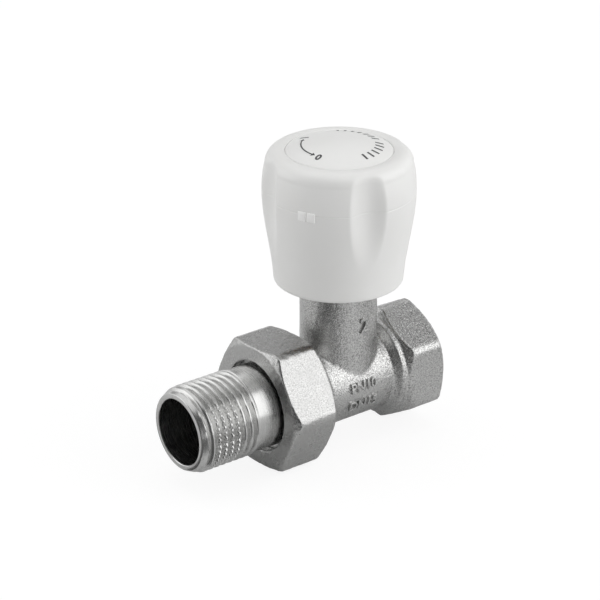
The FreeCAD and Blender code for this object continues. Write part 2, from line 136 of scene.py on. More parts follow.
def stand(name, data):
    """Puts a mesh, a curve, a lamp or a camera into the scene, at the origin."""
    holder = bpy.data.objects.new(name, data)
    bpy.context.collection.objects.link(holder)
    return holder


def take_shape(holder):
    """Takes an object out of the scene and keeps its final shape as a working mesh."""
    shape = bpy.data.meshes.new_from_object(
        holder.evaluated_get(bpy.context.evaluated_depsgraph_get()))
    bpy.data.objects.remove(holder)
    bm = bmesh.new()
    bm.from_mesh(shape)
    bpy.data.meshes.remove(shape)
    return bm


def forge(bm, spacing, unevenness):
    """Gives the surface one even skin, rubs its edges round twice and leaves it slightly uneven,
    as a forging's is."""
    blank = stand("blank", mesh_of(bm, "blank"))
    skin = blank.modifiers.new("skin", "REMESH")
    skin.mode = "VOXEL"
    skin.voxel_size = spacing * MM
    bm = take_shape(blank)
    for _ in range(2):
        bmesh.ops.smooth_vert(bm, verts=bm.verts, factor=0.5, use_axis_x=True, use_axis_y=True,
                              use_axis_z=True)
    bm.normal_update()
    for vert in bm.verts:
        swell = noise.noise(vert.co / (SWELL_WIDTH * MM)) - SWELL_SINK
        vert.co += vert.normal * (swell * unevenness * MM)
    return bm


def make_piece(name, bm, body, finish, replaced=(), crease=None):
    """Makes the mesh a piece of the valve, smooth except at edges sharper than the crease angle."""
    mesh = mesh_of(bm, name)
    mesh.shade_smooth()
    if crease:
        mesh.set_sharp_from_angle(angle=math.radians(crease))
    mesh.materials.append(finish)
    piece = stand(name, mesh)
    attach(piece, body)
    if replaced:
        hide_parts(*replaced)


# The second, dark colour is painted shade in the grain's hollows.
body_nickel = nickel_forging("satin nickel on blasted brass forging", "#D8D8D7", "#888887",
                             grain_size=0.29, grain_depth=0.1, low_rough=0.21, high_rough=0.28)
body = copy_of("valve_body")
for vert in body.verts:
    radius = math.hypot(vert.co.y, vert.co.z)
    if vert.co.x < (UNION_THREAD_END + CORE_MARGIN) * MM and radius > THREAD_CORE * MM:
        vert.co.yz = vert.co.yz * (THREAD_CORE * MM / radius)
body = forge(body, spacing=0.335, unevenness=0.06)
for vert in body.verts:
    if vert.co.x > -FACE_MARGIN * MM:
        vert.co.x = 0
make_piece("forged_body", body, "housing", body_nickel, ["valve_body"])


# Threads of the body
# Cut before plating, with a 55 degree form: the 1/2 inch socket of the inlet and the 3/4 inch
# union end. Each is a turned ring whose skin is wound into the thread.
STEM = -23.0
PITCH = 1.814
THREAD_DEPTH = 0.64 * PITCH
FLANK_SLOPE = 1.5  # with the depth, this leans each flank by 27.5 degrees
CREST_WIDTH = 0.32
ROUNDING = 0.15
ROW = 0.12
UNION_END = -42.3
UNION_CHAMFER = 0.9
UNION_CREST = 13.22
UNION_RING_BORE = 11.4
UNION_PHASE = 0.4  # a phase is where a crest crosses the pipe's front, along X
INLET_MOUTH = -0.3
INLET_INNER_END = -11.0
INLET_ROOT = 10.48
INLET_RING = 10.8
INLET_PHASE = 0.0


def turned(outline, axis, steps, closed=True):
    """Spins an outline about the pipe axis, from (x, radius), or about the stem axis, from
    (radius, z)."""
    bm = bmesh.new()
    if axis == "pipe":
        points = [Vector((x, 0, radius)) * MM for x, radius in outline]
        centre, direction = Vector((0, 0, 0)), Vector((1, 0, 0))
    else:
        points = [Vector((STEM + radius, 0, z)) * MM for radius, z in outline]
        centre, direction = Vector((STEM * MM, 0, 0)), Vector((0, 0, 1))
    verts = [bm.verts.new(point) for point in points]
    ends = verts[1:] + verts[:1] if closed else verts[1:]
    for first, second in zip(verts, ends):
        bm.edges.new((first, second))
    bmesh.ops.spin(bm, geom=bm.verts[:] + bm.edges[:], cent=centre, axis=direction,
                   dvec=(0, 0, 0), angle=2 * math.pi, steps=steps, use_merge=True)
    bmesh.ops.remove_doubles(bm, verts=bm.verts, dist=0.001 * MM)
    bmesh.ops.recalc_face_normals(bm, faces=bm.faces)
    return bm


def rows(start, end, spacing, radius):
    """Points along X close enough together to hold a thread's form."""
    count = round(abs(end - start) / spacing)
    return [(start + (end - start) * i / count, radius) for i in range(count + 1)]


def groove(x, angle, phase):
    """Depth of a right-hand thread at a place on its skin: 0 on the crest and 1 at the root."""
    turn = ((x - phase) / PITCH - angle / (2 * math.pi)) % 1
    flank = min(max(FLANK_SLOPE * abs(2 * turn - 1) - CREST_WIDTH, 0), 1)
    return (1 - ROUNDING) * flank + ROUNDING * flank * flank * (3 - 2 * flank)


def wind_thread(bm, start, end, crest, skin, phase, run_in, run_out):
    """Pulls the skin of a turned ring down to the thread between two places along X. The thread
    reaches its full depth over the run-in and loses it over the run-out."""
    for vert in bm.verts:
        x = vert.co.x / MM
        radius = math.hypot(vert.co.y, vert.co.z) / MM
        if not skin(radius) or not start <= x <= end:
            continue
        angle = math.atan2(vert.co.z, vert.co.y)
        full = min(1, (x - start) / run_in if run_in else 1, (end - x) / run_out)
        wanted = min(radius, crest - THREAD_DEPTH * full * groove(x, angle, phase))
        vert.co.yz = vert.co.yz * (wanted / radius)


def turned_nickel(name, light, dark, roughness, lines):
    """Nickel over turned brass: fine rings left by the tool, about 0.12 mm apart, and faint
    clouds in the plate."""
    finish, tree = new_finish(name)
    place = add(tree, "ShaderNodeTexCoord", {}).outputs["Object"]
    stretch = add(tree, "ShaderNodeMapping", {"Vector": place, "Scale": (1.0, 0.03, 0.03)})
    rings = add(tree, "ShaderNodeTexNoise", {
        "Vector": stretch.outputs["Vector"], "Scale": 1 / (0.12 * MM), "Detail": 1.0})
    clouds = add(tree, "ShaderNodeTexNoise", {
        "Vector": place, "Scale": 1 / (2.5 * MM), "Detail": 3.0})
    colour = add(tree, "ShaderNodeMix", {
        "Factor": clouds.outputs["Fac"], "A": linear(dark), "B": linear(light)},
        data_type="RGBA")
    rough = add(tree, "ShaderNodeMapRange", {
        "Value": rings.outputs["Fac"], "To Min": roughness - 0.06, "To Max": roughness + 0.08})
    relief = add(tree, "ShaderNodeBump", {
        "Height": rings.outputs["Fac"], "Strength": 1.0, "Distance": lines * MM})
    metal = add(tree, "ShaderNodeBsdfPrincipled", {
        "Base Color": colour.outputs["Result"], "Metallic": 1.0,
        "Roughness": rough.outputs["Result"], "Normal": relief.outputs["Normal"]})
    add(tree, "ShaderNodeOutputMaterial", {"Surface": metal.outputs["BSDF"]})
    return finish


thread_nickel = turned_nickel("bright nickel on turned brass", "#DADAD9", "#C2C2C1",
                              roughness=0.24, lines=0.004)
ring = turned([(UNION_END, UNION_RING_BORE), (UNION_END, 12.3)]
              + rows(UNION_END + UNION_CHAMFER, UNION_THREAD_END, ROW, UNION_CREST)
              + [(UNION_THREAD_END, UNION_RING_BORE)], "pipe", steps=200)
wind_thread(ring, UNION_END, UNION_THREAD_END, UNION_CREST, lambda radius: radius > 12.2,
            UNION_PHASE, run_in=0, run_out=0.9)
make_piece("union_end_thread", ring, "housing", thread_nickel, crease=40)
ring = turned([(INLET_MOUTH, INLET_RING)] + rows(INLET_MOUTH, INLET_INNER_END, ROW, INLET_ROOT)
              + [(INLET_INNER_END, INLET_RING)], "pipe", steps=160)
wind_thread(ring, INLET_INNER_END, INLET_MOUTH, INLET_ROOT, lambda radius: radius < 10.6,
            INLET_PHASE, run_in=1.5, run_out=0.5)
make_piece("inlet_thread", ring, "housing", thread_nickel, crease=40)


# Size marks
# Plain raised figures: pressure and pipe size on the barrel's front and a 2 on the neck. They
# are cut into the forging dies, so they are one with the body and stand proud with soft edges.
BARREL_RADIUS = 10.2
NECK_RADIUS = 9.25
MARKS_X = -23.2
MARKS_HEIGHT = 3.4


def figures(text, height, offset, proud=0, edge=0):
    """Figures lying flat with their middle at the origin, thickened by the offset, standing up
    and with their edges rounded where asked for."""
    curve = bpy.data.curves.new("figures", "FONT")
    curve.body = text
    curve.size = height * MM
    curve.align_x = "CENTER"
    curve.align_y = "CENTER"
    curve.offset = offset * MM
    curve.extrude = proud * MM
    curve.bevel_depth = edge * MM
    curve.bevel_resolution = 1
    return take_shape(stand("figures", curve))


def raised_figures(text, height):
    """Solid figures with enough points in their edges to bend round the body."""
    bm = figures(text, height, offset=-0.04, proud=0.42, edge=0.09)
    bmesh.ops.remove_doubles(bm, verts=bm.verts, dist=0.001 * MM)
    long_edges = [edge for edge in bm.edges if edge.calc_length() > 0.4 * MM]
    bmesh.ops.subdivide_edges(bm, edges=long_edges, cuts=3)
    bmesh.ops.triangulate(bm, faces=bm.faces)
    bmesh.ops.recalc_face_normals(bm, faces=bm.faces)
    return bm


def wrap_on_barrel(bm, x, turn):
    """Lays flat figures on the barrel's front, read along X."""
    for vert in bm.verts:
        angle = math.radians(turn) + vert.co.y / (BARREL_RADIUS * MM)
        radius = BARREL_RADIUS * MM + vert.co.z
        vert.co = Vector((x * MM + vert.co.x, -radius * math.cos(angle),
                          radius * math.sin(angle)))
    return bm


def wrap_on_neck(bm, z, turn):
    """Lays flat figures on the neck, read level."""
    for vert in bm.verts:
        angle = math.radians(turn) + vert.co.x / (NECK_RADIUS * MM)
        radius = NECK_RADIUS * MM + vert.co.z
        vert.co = Vector((STEM * MM + radius * math.cos(angle), radius * math.sin(angle),
                          z * MM + vert.co.y))
    return bm


for name, marks in (
        ("barrel_figures_upper",
         wrap_on_barrel(raised_figures("PN10", MARKS_HEIGHT), MARKS_X, turn=9)),
        ("barrel_figures_lower",
         wrap_on_barrel(raised_figures("DN15", MARKS_HEIGHT), MARKS_X, turn=-17)),
        ("neck_figures", wrap_on_neck(raised_figures("2", height=5.2), z=17.0, turn=-88))):
    make_piece(name, marks, "housing", body_nickel, crease=50)


# Headwork under the handwheel
# Turned from brass bar and screwed into the neck over a red fibre ring; its gland nut presses
# a washer and a white packing round the spindle.


def turned_brass(name, light, dark, roughness):
    """Bare turned brass: tool rings 0.15 mm apart round the stem, warm and slightly dulled in
    clouds."""
    finish, tree = new_finish(name)
    place = add(tree, "ShaderNodeTexCoord", {}).outputs["Object"]
    stretch = add(tree, "ShaderNodeMapping", {"Vector": place, "Scale": (0.03, 0.03, 1.0)})
    rings = add(tree, "ShaderNodeTexNoise", {
        "Vector": stretch.outputs["Vector"], "Scale": 1 / (0.15 * MM), "Detail": 1.0})
    clouds = add(tree, "ShaderNodeTexNoise", {
        "Vector": place, "Scale": 1 / (3 * MM), "Detail": 3.0})
    colour = add(tree, "ShaderNodeMix", {
        "Factor": clouds.outputs["Fac"], "A": linear(dark), "B": linear(light)},
        data_type="RGBA")
    relief = add(tree, "ShaderNodeBump", {
        "Height": rings.outputs["Fac"], "Strength": 1.0, "Distance": 0.006 * MM})
    metal = add(tree, "ShaderNodeBsdfPrincipled", {
        "Base Color": colour.outputs["Result"], "Metallic": 1.0, "Roughness": roughness,
        "Normal": relief.outputs["Normal"]})
    add(tree, "ShaderNodeOutputMaterial", {"Surface": metal.outputs["BSDF"]})
    return finish


def plain_solid(name, light, dark, mottle, roughness, relief_depth, ior=1.5):
    """Rubber, fibre, packing or ink: one colour that varies a little in patches, with a fine
    skin."""
    finish, tree = new_finish(name)
    place = add(tree, "ShaderNodeTexCoord", {}).outputs["Object"]
    patches = add(tree, "ShaderNodeTexNoise", {
        "Vector": place, "Scale": 1 / (mottle * MM), "Detail": 4.0})
    colour = add(tree, "ShaderNodeMix", {
        "Factor": patches.outputs["Fac"], "A": linear(dark), "B": linear(light)},
        data_type="RGBA")
    relief = add(tree, "ShaderNodeBump", {
        "Height": patches.outputs["Fac"], "Strength": 1.0, "Distance": relief_depth * MM})
    solid = add(tree, "ShaderNodeBsdfPrincipled", {
        "Base Color": colour.outputs["Result"], "Roughness": roughness, "IOR": ior,
        "Normal": relief.outputs["Normal"]})
    add(tree, "ShaderNodeOutputMaterial", {"Surface": solid.outputs["BSDF"]})
    return finish


def dress(names, finish):
    """Gives solids that keep their own shape their finish."""
    for name in names:
        for slot in nodes[name].material_slots:
            slot.material = finish


bare_brass = turned_brass("bare turned brass", "#DDBB74", "#C39C55", roughness=0.28)
red_fibre = plain_solid("red vulcanised fibre", "#A2452F", "#7C2E20", mottle=0.5, roughness=0.7,
                        relief_depth=0.02)
white_packing = plain_solid("white PTFE packing", "#F0F0EC", "#E2E2DC", mottle=0.8,
                            roughness=0.45, relief_depth=0.01, ior=1.35)
dress(["bonnet", "gland_washer", "gland_nut"], bare_brass)
dress(["bonnet_gasket"], red_fibre)
dress(["packing_ring"], white_packing)


# Stem and seat plug
# Turned brass spindle with two O-rings; the plug hangs on its head by a zinc-plated snap ring
# and carries the black rubber seat disc under a washer and a slotted screw.


def zinc_plate(name):
    """Bright zinc on steel: cool grey with a faint spangle about 0.6 mm wide."""
    finish, tree = new_finish(name)
    place = add(tree, "ShaderNodeTexCoord", {}).outputs["Object"]
    spangle = add(tree, "ShaderNodeTexVoronoi", {"Vector": place, "Scale": 1 / (0.6 * MM)})
    colour = add(tree, "ShaderNodeMix", {
        "Factor": spangle.outputs["Distance"], "A": linear("#C9CDD1"), "B": linear("#B4B9BE")},
        data_type="RGBA")
    rough = add(tree, "ShaderNodeMapRange", {
        "Value": spangle.outputs["Distance"], "To Min": 0.24, "To Max": 0.36})
    metal = add(tree, "ShaderNodeBsdfPrincipled", {
        "Base Color": colour.outputs["Result"], "Metallic": 1.0,
        "Roughness": rough.outputs["Result"]})
    add(tree, "ShaderNodeOutputMaterial", {"Surface": metal.outputs["BSDF"]})
    return finish


black_rubber = plain_solid("black EPDM rubber", "#2A2A2B", "#1C1C1D", mottle=0.6,
                           roughness=0.55, relief_depth=0.008)
dress(["spindle", "valve_plug", "disc_washer", "disc_screw"], bare_brass)
dress(["stem_o_rings", "disc_seal"], black_rubber)
zinc = zinc_plate("bright zinc on steel")
dress(["plug_clip"], zinc)


# Union tail
# Turned from brass tube and nickel plated: 1/2 inch thread with a lead, plain land, and a collar
# with an O-ring. The middle crests are notched on two sides so that hemp packing grips.
TAIL_END = -69.8
TAIL_BORE = 8.05
LEAD_START = 9.3
LEAD_LENGTH = 2.5
LEAD_ROWS = 22
THREAD_START = -67.2
THREAD_END = -54.0
TAIL_CREST = 10.48
TAIL_PHASE = -65.26
LAND = 10.18
COLLAR_BACK = -45.4
COLLAR_FACE = -42.4
COLLAR = 11.9
SEAL_GROOVE_FLOOR = -43.7
SEAL_GROOVE_INNER = 9.2
SEAL_GROOVE_OUTER = 11.2
SOFT_EDGE = 0.1
NOTCH_SPACING = 7.65  # degrees, which is 1.4 mm along the crest
NOTCH_HALF_WIDTH = 0.32  # of that spacing
NOTCH_FLANK = 0.5
NOTCH_FLOOR = 0.8  # of the flank, so a notch is 0.4 mm deep with a flat floor
NOTCHED_CREST = 0.42
NOTCHES_FROM = 132  # degrees round the pipe, past the front and, half a turn on, past the back
NOTCHES_TO = 55


def notch_crests(bm, start, end):
    """Nicks the thread's crests on the front and on the back."""
    for vert in bm.verts:
        x = vert.co.x / MM
        radius = math.hypot(vert.co.y, vert.co.z) / MM
        if not start < x < end or radius < TAIL_CREST - NOTCHED_CREST:
            continue
        angle = math.degrees(math.atan2(vert.co.z, vert.co.y)) % 180
        if angle > NOTCHES_FROM or angle < NOTCHES_TO:
            middle = abs((angle / NOTCH_SPACING) % 1 - 0.5)
            nick = max(0, 1 - middle / NOTCH_HALF_WIDTH)
            vert.co.yz = vert.co.yz * (1 - NOTCH_FLANK * min(nick, NOTCH_FLOOR) / radius)


lead = [(TAIL_END + SOFT_EDGE + LEAD_LENGTH * i / LEAD_ROWS,
         LEAD_START + (TAIL_CREST - LEAD_START) * i / LEAD_ROWS) for i in range(LEAD_ROWS)]
collar = [(COLLAR_BACK - SOFT_EDGE, LAND), (COLLAR_BACK, LAND + SOFT_EDGE),
          (COLLAR_BACK, COLLAR - SOFT_EDGE), (COLLAR_BACK + SOFT_EDGE, COLLAR),
          (COLLAR_FACE - SOFT_EDGE, COLLAR), (COLLAR_FACE, COLLAR - SOFT_EDGE)]
seal_groove = [(COLLAR_FACE, SEAL_GROOVE_OUTER), (SEAL_GROOVE_FLOOR, SEAL_GROOVE_OUTER),
               (SEAL_GROOVE_FLOOR, SEAL_GROOVE_INNER), (COLLAR_FACE, SEAL_GROOVE_INNER)]
outline = ([(TAIL_END + 0.15, TAIL_BORE), (TAIL_END, TAIL_BORE + 0.15), (TAIL_END, 9.17)]
           + lead + rows(THREAD_START, THREAD_END, 0.113, TAIL_CREST)
           + [(THREAD_END + 0.02, LAND)] + collar + seal_groove
           + [(COLLAR_FACE, TAIL_BORE + SOFT_EDGE), (COLLAR_FACE - SOFT_EDGE, TAIL_BORE)])
tail = turned(outline, "pipe", steps=376)
wind_thread(tail, TAIL_END, THREAD_END, TAIL_CREST, lambda radius: radius > 9.25,
            TAIL_PHASE, run_in=0, run_out=0.7)
notch_crests(tail, start=-65.7, end=-58.6)
tail_nickel = turned_nickel("nickel on turned brass tail", "#D6D6D5", "#C0C0BF",
                            roughness=0.25, lines=0.01)
make_piece("threaded_tail", tail, "tail", tail_nickel, ["union_tailpiece"],
           crease=40)
dress(["union_seal"], black_rubber)


# Union nut
# Forged brass hexagon with its corners chamfered and its flats left blasted, nickel plated. It
# turns freely on the tail and draws the tail's collar up to the body.
# The second, dark colour is painted shade in the grain's hollows.
nut_nickel = nickel_forging("satin nickel on forged nut", "#C7C7C6", "#A2A2A1",
                            grain_size=0.29, grain_depth=0.055, low_rough=0.23, high_rough=0.3)
nut = forge(copy_of("union_nut"), spacing=0.24, unevenness=0.05)
make_piece("forged_union_nut", nut, "nut", nut_nickel, ["union_nut"])


# Handwheel
# Moulded in white ABS: a cup with four soft finger flutes, a parting line round its side, a
# pocket in its top, and a ribbed hub with a square hole. A zinc-plated screw holds it.
WHEEL_BOTTOM = 26.5
SHOULDER = 55.7
WHEEL_TOP = 58.7
SIDE_PLACES = ((26.5, 15.4), (37.25, 16.75), (48.0, 18.05), (55.7, 17.3))
WIDEST = 18.1
CROWN_CENTRE = 14.3
CROWN_RADIUS = 3.0
PARTING = 49.1
PARTING_DEPTH = 0.06
FLUTE_FLOOR = 16.2
FLUTE_RADIUS = 6.0
FLUTE_BOW = 95.0  # radius of the channel's bowed axis
FLUTE_DEEPEST = 50.5
FLUTE_BLEND = 1.5
FLUTE_MARGIN = 0.2
FIRST_FLUTE = -16.0  # degrees from +X round the stem
SKIN = 1.0  # depth behind the side that still belongs to the outer skin
HUB_RADIUS = 5.6
HUB_SQUARE = 2.5  # half the side of the square hole
HUB_FOOT = 44.05
HUB_TOP = 50.3


def side_radius(z):
    """Radius of the wheel's side: four measured places joined by one smooth curve."""
    total = 0
    for z_i, r_i in SIDE_PLACES:
        for z_j, _ in SIDE_PLACES:
            if z_j != z_i:
                r_i *= (z - z_j) / (z_i - z_j)
        total += r_i
    return min(total, WIDEST)


def flute_reach(angle, z, radius):
    """Distance from the stem axis to the skin where a finger flute melts into it. The flute is a
    round channel whose axis is bowed, so it is deepest at one height and runs out above and
    below it."""
    turn = math.radians(min(abs((angle - FIRST_FLUTE - 90 * k + 180) % 360 - 180)
                            for k in range(4)))
    bow_centre = FLUTE_FLOOR + FLUTE_RADIUS + FLUTE_BOW
    cut = FLUTE_FLOOR
    for _ in range(5):  # the distance is found in five rounds, each from the one before
        off = cut * math.sin(turn)
        if off > FLUTE_RADIUS - FLUTE_MARGIN:
            return radius
        reach = FLUTE_BOW + math.sqrt(FLUTE_RADIUS ** 2 - off ** 2)
        cut = (bow_centre - math.sqrt(reach ** 2 - (z - FLUTE_DEEPEST) ** 2)) / math.cos(turn)
    overlap = max(FLUTE_BLEND - abs(radius - cut), 0) / FLUTE_BLEND
    return min(radius, cut) - overlap * overlap * FLUTE_BLEND / 4


def rounded_block(bm, turn, reach, z, size, rounding, segments):
    """Adds a block with rounded edges, turned about the stem axis and set out from it."""
    block = bmesh.ops.create_cube(bm, size=MM, matrix=(
        Matrix.Translation((STEM * MM, 0, z * MM)) @ Matrix.Rotation(math.radians(turn), 4, "Z")
        @ Matrix.Translation((reach * MM, 0, 0)) @ Matrix.Diagonal((*size, 1))))
    corners = set(block["verts"])
    edges = [edge for edge in bm.edges if edge.verts[0] in corners]
    bmesh.ops.bevel(bm, geom=edges, offset=rounding * MM, offset_type="OFFSET",
                    segments=segments, profile=0.5, affect="EDGES", material=-1)


def white_plastic(name, light, dark, roughness):
    """Moulded ABS: near white, a fine spark-eroded skin about 0.3 mm across, and a barely seen
    yellowing in clouds."""
    finish, tree = new_finish(name)
    place = add(tree, "ShaderNodeTexCoord", {}).outputs["Object"]
    skin = add(tree, "ShaderNodeTexNoise", {
        "Vector": place, "Scale": 1 / (0.3 * MM), "Detail": 2.0})
    clouds = add(tree, "ShaderNodeTexNoise", {
        "Vector": place, "Scale": 1 / (9 * MM), "Detail": 2.0})
    colour = add(tree, "ShaderNodeMix", {
        "Factor": clouds.outputs["Fac"], "A": linear(dark), "B": linear(light)},
        data_type="RGBA")
    relief = add(tree, "ShaderNodeBump", {
        "Height": skin.outputs["Fac"], "Strength": 1.0, "Distance": 0.006 * MM})
    plastic = add(tree, "ShaderNodeBsdfPrincipled", {
        "Base Color": colour.outputs["Result"], "Roughness": roughness, "IOR": 1.53,
        "Normal": relief.outputs["Normal"]})
    add(tree, "ShaderNodeOutputMaterial", {"Surface": plastic.outputs["BSDF"]})
    return finish


below_parting = [27.3 + 0.42 * i for i in range(51)]
at_parting = [PARTING + step for step in (-0.3, -0.12, 0, 0.12, 0.3)]
above_parting = [PARTING + 0.6 + 0.4 * i for i in range(15)]
side = [(side_radius(z), z) for z in below_parting + at_parting + above_parting]
crown = [(CROWN_CENTRE + CROWN_RADIUS * math.cos(math.radians(a)),
          SHOULDER + CROWN_RADIUS * math.sin(math.radians(a))) for a in range(0, 91, 6)]
rim = [(12.6, WHEEL_BOTTOM), (14.9, WHEEL_BOTTOM), (15.2, 26.6), (15.36, 26.85)]
pocket = [(12.82, WHEEL_TOP), (12.7, 58.63), (12.64, 58.5), (12.64, 57.4), (11.6, 57.4),
          (11.5, 57.3), (11.5, 52.8), (11.3, 52.6), (3.0, 52.6)]
underside = [(3.0, 50.0), (14.7, 50.0), (14.7, 44.0), (13.5, 37.0), (12.3, 27.0), (12.35, 26.6)]
wheel = turned(rim + side + crown + pocket + underside, "stem", steps=384)
for vert in wheel.verts:
    x, y, z = vert.co.x / MM - STEM, vert.co.y / MM, vert.co.z / MM
    radius = math.hypot(x, y)
    behind_skin = z < SHOULDER and radius < side_radius(z) - SKIN
    if behind_skin or z < WHEEL_BOTTOM + 0.05 or radius < CROWN_CENTRE - 0.1:
        continue  # the flutes shape the outer skin only, between the rim and the flat top
    wanted = flute_reach(math.degrees(math.atan2(y, x)), z, radius)
    if abs(z - PARTING) < 0.05:
        wanted -= PARTING_DEPTH
    vert.co.x = (STEM + x * wanted / radius) * MM
    vert.co.y = y * wanted / radius * MM
hub = turned([(HUB_SQUARE, HUB_FOOT), (HUB_RADIUS - 0.1, HUB_FOOT), (HUB_RADIUS, HUB_FOOT + 0.1),
              (HUB_RADIUS, HUB_TOP), (HUB_SQUARE, HUB_TOP)], "stem", steps=64)
for vert in hub.verts:
    x, y = vert.co.x / MM - STEM, vert.co.y / MM
    if math.hypot(x, y) < HUB_SQUARE + 0.5:  # only the wall of the hole
        square = HUB_SQUARE / max(abs(x), abs(y))
        vert.co.x, vert.co.y = (STEM + x * square) * MM, y * square * MM
for k in range(8):
    rounded_block(hub, turn=22.5 + 45 * k, reach=10.3, z=47.6, size=(10.4, 1.4, 5.2),
                  rounding=0.2, segments=2)
white_abs = white_plastic("white moulded ABS", "#ECECEB", "#E8E8E6", roughness=0.38)
make_piece("fluted_handwheel", wheel, "wheel_and_stem", white_abs, ["handwheel"],
           crease=50)
make_piece("wheel_hub_and_ribs", hub, "wheel_and_stem", white_abs, ["handwheel"],
           crease=35)
dress(["screw_washer", "handwheel_screw"], zinc)


# Gate mark
# Two small square pads side by side on the parting line, moulded with the wheel where the
# mould's polished insert meets the skin, so they are a little glossier than it. Their lighter
# colour is painted sheen.
pads = bmesh.new()
for turn in (-156.4, -149.2):
    rounded_block(pads, turn, reach=17.66, z=48.55, size=(1.2, 2.05, 2.4), rounding=0.25,
                  segments=3)
# The colour, lighter than the wheel's, is painted sheen; the lower roughness is the real gloss.
sheen_painted_abs = white_plastic("polished white ABS with painted sheen", "#F7F7F6", "#F5F5F4", roughness=0.25)
make_piece("gate_pads", pads, "wheel_and_stem", sheen_painted_abs, crease=50)


# Cap
# A domed white ABS disc that snaps into the wheel's top and hides the screw, with a plain open
# and shut scale printed on it in grey: 1 and 0 with an arrow between them, and thirteen strokes.
CAP_RADIUS = 12.6
CAP_DROP = 0.06
DOME = 33.0
FIGURE_REACH = 9.1
STROKE_REACH = 9.3
STROKE_LENGTH = 2.0
STROKE_WIDTH = 0.55
STROKE_TURNS = (54, 43, 32, 21, 10, -1, -12, -31, -42.5, -54, -66, -78, -90)
ARC_START = 126
ARC_SWEEP = 62
ARROW_TIPS = (((8.3, 127.5), (9.5, 127.5), (8.9, 121.5)),
              ((8.3, 186.5), (9.5, 186.5), (8.9, 192.5)))
INK_THICKNESS = 0.025


def dome_height(radius):
    """Height of the cap's top above the pipe axis."""
    return (WHEEL_TOP - CAP_DROP + math.sqrt(DOME ** 2 - radius ** 2)
            - math.sqrt(DOME ** 2 - CAP_RADIUS ** 2))


def on_dial(radius, turn):
    """Place on the scale before it is laid on the dome, from its radius and its turn."""
    return Matrix.Rotation(math.radians(turn), 4, "Z") @ Vector((radius * MM, 0, 0))


outline = ([(radius, dome_height(radius)) for radius in (0, 2, 4, 6, 8, 10, 11.4, 12.2)]
           + [(12.42, 58.66), (12.55, 58.55), (CAP_RADIUS, 58.4), (CAP_RADIUS, 57.5),
              (11.3, 57.4), (11.3, 55.1), (11.2, 55.0), (10.4, 55.0), (10.3, 55.1),
              (10.3, 57.4), (0, 57.4)])
cap = turned(outline, "stem", steps=192, closed=False)
cap_abs = white_plastic("white moulded ABS cap", "#EDEDEC", "#EAEAE8", roughness=0.34)
make_piece("domed_cap", cap, "wheel_and_stem", cap_abs, ["cap_disc"], crease=35)

ink = bmesh.new()
for text, turn, height in (("1", 113.4, 3.1), ("0", 200.3, 2.6)):
    figure = figures(text, height, offset=0.11)
    figure.transform(Matrix.Rotation(math.radians(turn), 4, "Z")
                     @ Matrix.Translation((FIGURE_REACH * MM, 0, 0))
                     @ Matrix.Rotation(math.radians(-90), 4, "Z"))
    printed = mesh_of(figure, "figure")
    ink.from_mesh(printed)
    bpy.data.meshes.remove(printed)
for turn in STROKE_TURNS:
    bmesh.ops.create_grid(ink, x_segments=8, y_segments=2, size=0.5 * MM, matrix=(
        Matrix.Rotation(math.radians(turn), 4, "Z")
        @ Matrix.Translation((STROKE_REACH * MM, 0, 0))
        @ Matrix.Diagonal((STROKE_LENGTH, STROKE_WIDTH, 1, 1))))
arc = [ink.verts.new(on_dial(radius, ARC_START)) for radius in (8.74, 9.06)]
bmesh.ops.spin(ink, geom=arc + [ink.edges.new(arc)], cent=(0, 0, 0), axis=(0, 0, 1),
               dvec=(0, 0, 0), angle=math.radians(ARC_SWEEP), steps=40, use_merge=False)
for tip in ARROW_TIPS:
    ink.faces.new([ink.verts.new(on_dial(radius, turn)) for radius, turn in tip])
for _ in range(4):
    bmesh.ops.triangulate(ink, faces=ink.faces)
    long_edges = [edge for edge in ink.edges if edge.calc_length() > 0.5 * MM]
    bmesh.ops.subdivide_edges(ink, edges=long_edges, cuts=1)
bmesh.ops.triangulate(ink, faces=ink.faces)
for vert in ink.verts:
    radius = math.hypot(vert.co.x, vert.co.y) / MM
    vert.co.z = (dome_height(radius) + INK_THICKNESS) * MM
    vert.co.x += STEM * MM
bmesh.ops.recalc_face_normals(ink, faces=ink.faces)
for face in ink.faces:
    if face.normal.z < 0:
        face.normal_flip()
grey_ink = plain_solid("grey pad-printed ink", "#4C4C4E", "#3E3E40", mottle=0.4, roughness=0.5,
                       relief_depth=0.002)
make_piece("printed_scale", ink, "wheel_and_stem", grey_ink)


# Studio
# Pale floor that runs off to white, a large soft lamp to the camera's right, and weaker ones to
# its left and above. The metal reflects bright and grey cards in their place, and two dark sheets
# lying on the floor that paint shade into the floor it reflects. Sizes in metres.
FLOOR = cad_box[0][2] - 0.0001
MIDDLE = Vector((-0.035, 0, 0.02))
TARGET = Vector((-0.03448, 0, 0.02361))
AZIMUTH = math.radians(-37.66)
ELEVATION = math.radians(24.94)
CAMERA_DISTANCE = 0.56
KEY = (0.554, -0.723, 0.412)
SIDE = (-0.75, 0.65, 0.3)


def soft_lamp(name, direction, distance, size, radiance):
    """Square lamp of a given brightness that faces the valve; reflections don't show it."""
    lamp = bpy.data.lights.new(name, "AREA")
    lamp.shape = "SQUARE"
    lamp.size = size
    lamp.energy = radiance * math.pi * size * size
    holder = stand(name, lamp)
    away = Vector(direction).normalized()
    holder.location = MIDDLE + away * distance
    holder.rotation_euler = away.to_track_quat("Z", "Y").to_euler()
    holder.visible_glossy = False


